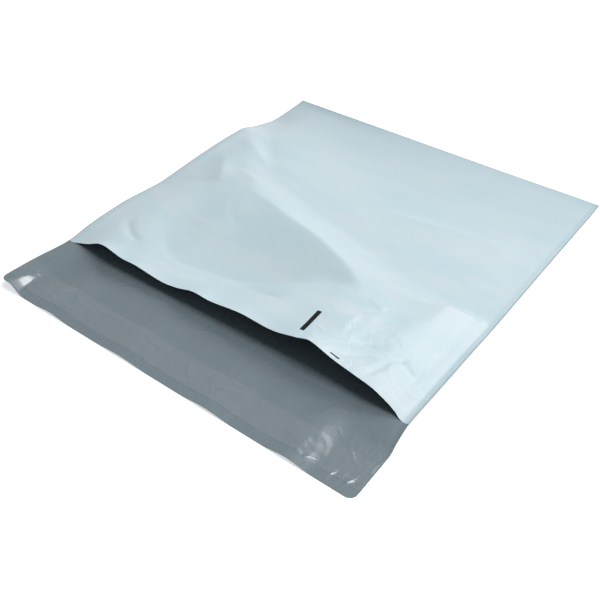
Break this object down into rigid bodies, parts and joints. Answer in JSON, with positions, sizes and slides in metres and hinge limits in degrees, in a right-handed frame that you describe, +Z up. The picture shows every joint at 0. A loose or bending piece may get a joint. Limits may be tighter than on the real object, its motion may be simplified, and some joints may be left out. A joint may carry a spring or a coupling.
{
  "type": "polythene mailing bag",
  "caption": "Flat film mailing bag lying open on its back: one folded web with welded sides, a billowed front sheet at the mouth and an adhesive closing flap under a peel-off liner.",
  "frame": {"origin": "on the surface it lies on, under the middle of the bag and its flap", "axes": "+Z up, +Y from the flap to the closed end, +X to the right seen from the mouth"},
  "size_m": [0.4, 0.48, 0.0323],
  "materials": {
    "film": "satin co-extruded film, pale blue-grey outside and dark grey inside",
    "adhesive": "clear hot-melt adhesive over dark film",
    "liner": "clear siliconised peel-off film"
  },
  "bodies": {
    "root": {"film_pouch": "film", "adhesive_strip": "adhesive", "release_liner": "liner"}
  },
  "joints": []
}
